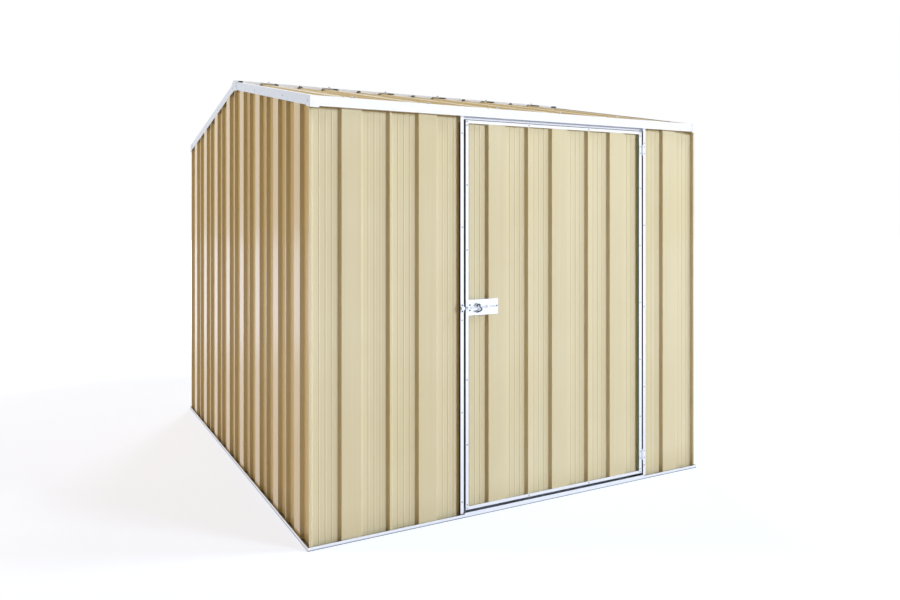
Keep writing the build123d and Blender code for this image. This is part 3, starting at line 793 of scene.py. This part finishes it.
# %% Lever
LEVER_RADIUS = 3.2 * MM
LEVER_BENDS = ((-11, 7), (4, 14), (5, 3), (15, -8), (6, -16), (-12, -20))
LEVER_STEPS = 3
KNOB_ALONG = 57 * MM
KNOB_DEPTH = 1.5 * MM
knob = Vector((plate_low.x + KNOB_ALONG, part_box("slide_bolt")[0].y + KNOB_DEPTH, latch_z))
path = bpy.data.curves.new("bolt_lever", "CURVE")
path.dimensions = "3D"
path.bevel_depth = LEVER_RADIUS
path.bevel_resolution = LEVER_STEPS
path.use_fill_caps = True
spline = path.splines.new("BEZIER")
spline.bezier_points.add(len(LEVER_BENDS) - 1)
for point, (x, z) in zip(spline.bezier_points, LEVER_BENDS):
    point.co = knob + Vector((x * MM, 0, z * MM))
    point.handle_left_type = point.handle_right_type = "AUTO"
drawn = add_object("bolt_lever_path", path)
bar = bpy.data.meshes.new_from_object(drawn.evaluated_get(bpy.context.evaluated_depsgraph_get()))
bpy.data.objects.remove(drawn)
bar.materials.clear()
bar.materials.append(lever_finish)
lever = add_object("bolt_lever", bar)
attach(lever, "bolt")
print("lever", len(bar.polygons), "faces")

# %% [markdown]
# ## The floor
# The shed stands on a plain white floor that has to fade into a white background and still show the
# shed's shadow. A brighter lamp would bleach the shed too. So the floor lights itself a little where
# the camera or a reflection sees it, which Light Path tells apart, and wholly so farther out. Inside
# the shed it isn't self-lit at all. The light that it throws back at the walls is warm, as from dry
# ground.

# %% Floor
FLOOR_RADIUS = 40.0
FLOOR_SIDES = 96
floor_mesh = bpy.data.meshes.new("floor")
surface = bmesh.new()
bmesh.ops.create_circle(surface, cap_ends=True, segments=FLOOR_SIDES, radius=FLOOR_RADIUS)
surface.to_mesh(floor_mesh)
surface.free()
floor = add_object("floor", floor_mesh)
print("floor radius", FLOOR_RADIUS, "m")

# %% Floor finish
FLOOR_ROUGHNESS = 0.9
FLOOR_THROWN_BACK = "#C8B27C"
FLOOR_SEEN = "#F0F4FF"
FLOOR_GLOW_TINT = "#EBF1FF"
FLOOR_GLOW = 1.62
FLOOR_SELF_LIT = 0.46
FADE_FROM, FADE_TO = 3.0, 6.0
INSIDE_REACH = (("X", 1.02), ("Y", 1.36))
floor_finish, tree, shader = new_material("white_studio_floor")
shader.inputs["Roughness"].default_value = FLOOR_ROUGHNESS
rays = add_node(tree, "ShaderNodeLightPath", {}, {})
seen = add_node(
    tree,
    "ShaderNodeMath",
    {"operation": "MAXIMUM"},
    {0: rays.outputs["Is Camera Ray"], 1: rays.outputs["Is Glossy Ray"]},
)
pale = add_node(
    tree,
    "ShaderNodeMix",
    {"data_type": "RGBA"},
    {0: seen.outputs[0], 6: colour(FLOOR_THROWN_BACK), 7: colour(FLOOR_SEEN)},
)
tree.links.new(pale.outputs[2], shader.inputs["Base Color"])
place = add_node(tree, "ShaderNodeTexCoord", {}, {})
parts = add_node(tree, "ShaderNodeSeparateXYZ", {}, {"Vector": place.outputs["Object"]})
inside = 1.0
for axis, reach in INSIDE_REACH:
    away = add_node(tree, "ShaderNodeMath", {"operation": "ABSOLUTE"}, {0: parts.outputs[axis]})
    within = add_node(tree, "ShaderNodeMath", {"operation": "LESS_THAN"}, {0: away.outputs[0], 1: reach})
    both = add_node(tree, "ShaderNodeMath", {"operation": "MULTIPLY"}, {0: inside, 1: within.outputs[0]})
    inside = both.outputs[0]
outside = add_node(tree, "ShaderNodeMath", {"operation": "SUBTRACT"}, {0: 1.0, 1: inside})
distance = add_node(tree, "ShaderNodeVectorMath", {"operation": "LENGTH"}, {0: place.outputs["Object"]})
glow = add_node(
    tree,
    "ShaderNodeMapRange",
    {"interpolation_type": "SMOOTHSTEP"},
    {
        "Value": distance.outputs["Value"],
        "From Min": FADE_FROM,
        "From Max": FADE_TO,
        "To Min": FLOOR_SELF_LIT,
        "To Max": 1.0,
    },
)
share = add_node(
    tree, "ShaderNodeMath", {"operation": "MULTIPLY"}, {0: seen.outputs[0], 1: glow.outputs[0]}
)
share = add_node(
    tree, "ShaderNodeMath", {"operation": "MULTIPLY"}, {0: share.outputs[0], 1: outside.outputs[0]}
)
white = add_node(
    tree, "ShaderNodeEmission", {}, {"Color": colour(FLOOR_GLOW_TINT), "Strength": FLOOR_GLOW}
)
mixed = add_node(
    tree, "ShaderNodeMixShader", {}, {0: share.outputs[0], 1: shader.outputs[0], 2: white.outputs[0]}
)
tree.links.new(mixed.outputs[0], tree.nodes["Material Output"].inputs["Surface"])
floor_mesh.materials.append(floor_finish)
floor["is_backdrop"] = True
print("floor lights itself by", FLOOR_SELF_LIT, "near the shed")

# %% [markdown]
# ## The world
# The world does three jobs, and Light Path keeps them apart. The camera sees plain white. A
# reflection sees a bright panel to the right and a greyer one to the left, because zinc looks like
# metal only where it has something to mirror. The walls get a weak, warm fill that grows toward the
# top, like the light in a yard.

# %% World
FILL_LOW, FILL_HIGH = 0.1, 0.3
FILL_TINT = "#FFE1A4"
LEFT_PANEL = "#BFC3CA"
RIGHT_PANEL = (1.22, 1.22, 1.22, 1)
PANEL_FROM, PANEL_TO = -0.6, 0.1
WHITE = (1, 1, 1, 1)
world = bpy.data.worlds.new("studio")
bpy.context.scene.world = world
world.use_nodes = True
tree = world.node_tree
place = add_node(tree, "ShaderNodeTexCoord", {}, {})
parts = add_node(tree, "ShaderNodeSeparateXYZ", {}, {"Vector": place.outputs["Generated"]})
strength = add_node(
    tree, "ShaderNodeMapRange", {}, {"Value": parts.outputs["Z"], "To Min": FILL_LOW, "To Max": FILL_HIGH}
)
fill = tree.nodes["Background"]
fill.inputs["Color"].default_value = colour(FILL_TINT)
tree.links.new(strength.outputs[0], fill.inputs["Strength"])
rightward = add_node(
    tree,
    "ShaderNodeMapRange",
    {"interpolation_type": "SMOOTHSTEP"},
    {"Value": parts.outputs["X"], "From Min": PANEL_FROM, "From Max": PANEL_TO},
)
panels = add_node(
    tree,
    "ShaderNodeMix",
    {"data_type": "RGBA"},
    {0: rightward.outputs[0], 6: colour(LEFT_PANEL), 7: RIGHT_PANEL},
)
rays = add_node(tree, "ShaderNodeLightPath", {}, {})
backdrop = add_node(
    tree,
    "ShaderNodeMix",
    {"data_type": "RGBA"},
    {0: rays.outputs["Is Camera Ray"], 6: panels.outputs[2], 7: WHITE},
)
shown = add_node(tree, "ShaderNodeBackground", {}, {"Color": backdrop.outputs[2], "Strength": 1.0})
seen = rays.outputs["Is Camera Ray"]
for kind in ("Is Glossy Ray", "Is Transmission Ray"):
    either = add_node(tree, "ShaderNodeMath", {"operation": "MAXIMUM"}, {0: seen, 1: rays.outputs[kind]})
    seen = either.outputs[0]
mixed = add_node(tree, "ShaderNodeMixShader", {}, {0: seen, 1: fill.outputs[0], 2: shown.outputs[0]})
tree.links.new(mixed.outputs[0], tree.nodes["World Output"].inputs["Surface"])
print("world fill", FILL_LOW, "to", FILL_HIGH)

# %% [markdown]
# ## The lamps
# Four large soft lamps stand round the shed. The main one is low in front on the right, so that a
# rib's shadow stays no wider than its own flank. The side lamp is high on the right and throws the
# shadow on the floor to the left. A warm lamp behind on the left grazes the gable wall, and the last
# one lights the back, so that no side is left in the dark. Zinc would mirror the lamps as hard discs,
# so reflections don't see them.

# %% Lamps
DAYLIGHT = "#E1F0FF"
WARM_LIGHT = "#FFE3AA"
FRONT_WALL = (0.0, -1.4, 1.0)
BACK_WALL = (0.0, 1.4, 1.0)
LEFT_WALL = (-1.0, 0.0, 1.0)


def soft_lamp(name, place, target, size, power, tint):
    data = bpy.data.lights.new(name, "AREA")
    data.shape = "DISK"
    data.size = size
    data.energy = power
    data.color = colour(tint)[:3]
    lamp = add_object(name, data)
    lamp.location = place
    lamp.rotation_euler = (Vector(target) - Vector(place)).to_track_quat("-Z", "Y").to_euler()
    lamp.visible_glossy = False
    print(name, power, "W")


soft_lamp("main_lamp", (9.8, -14.6, 4.3), FRONT_WALL, 5.0, 2640.0, DAYLIGHT)
soft_lamp("side_lamp", (12.2, -6.8, 11.5), FRONT_WALL, 5.0, 1280.0, DAYLIGHT)
soft_lamp("back_lamp", (6.0, 14.6, 5.0), BACK_WALL, 5.0, 1550.0, DAYLIGHT)
soft_lamp("left_lamp", (-13.8, 7.4, 7.1), LEFT_WALL, 4.0, 1450.0, WARM_LIGHT)

# %% [markdown]
# ## Camera
# The camera is level and stands at eye height, turned 31 degrees from straight on, so upright edges
# stay upright; the lens is shifted down to hold the whole shed. Its place was found by matching
# corners, ribs and door edges of the real shed with the same points of the frame.

# %% Camera
EYE = (-2.0095, -4.6211, 1.3617)
TURN = radians(30.98)
SENSOR = 36.0
LENS = 32.42
SHIFT_RIGHT, SHIFT_UP = -0.0737, -0.0964
data = bpy.data.cameras.new("camera")
data.sensor_width = SENSOR
data.lens = LENS
data.shift_x = SHIFT_RIGHT
data.shift_y = SHIFT_UP
camera = add_object("camera", data)
camera.location = EYE
camera.rotation_euler = (pi / 2, 0, -TURN)
bpy.context.scene.camera = camera
bpy.context.scene.view_settings.view_transform = "Standard"
print("camera at", EYE)

# %% [markdown]
# ## Sizes and finish
# The dressed shed must keep the size of its frame. The box of the dressed shed is printed.

# %% Sizes
low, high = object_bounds()
print("visual box", [round(h - l, 4) for l, h in zip(low, high)])
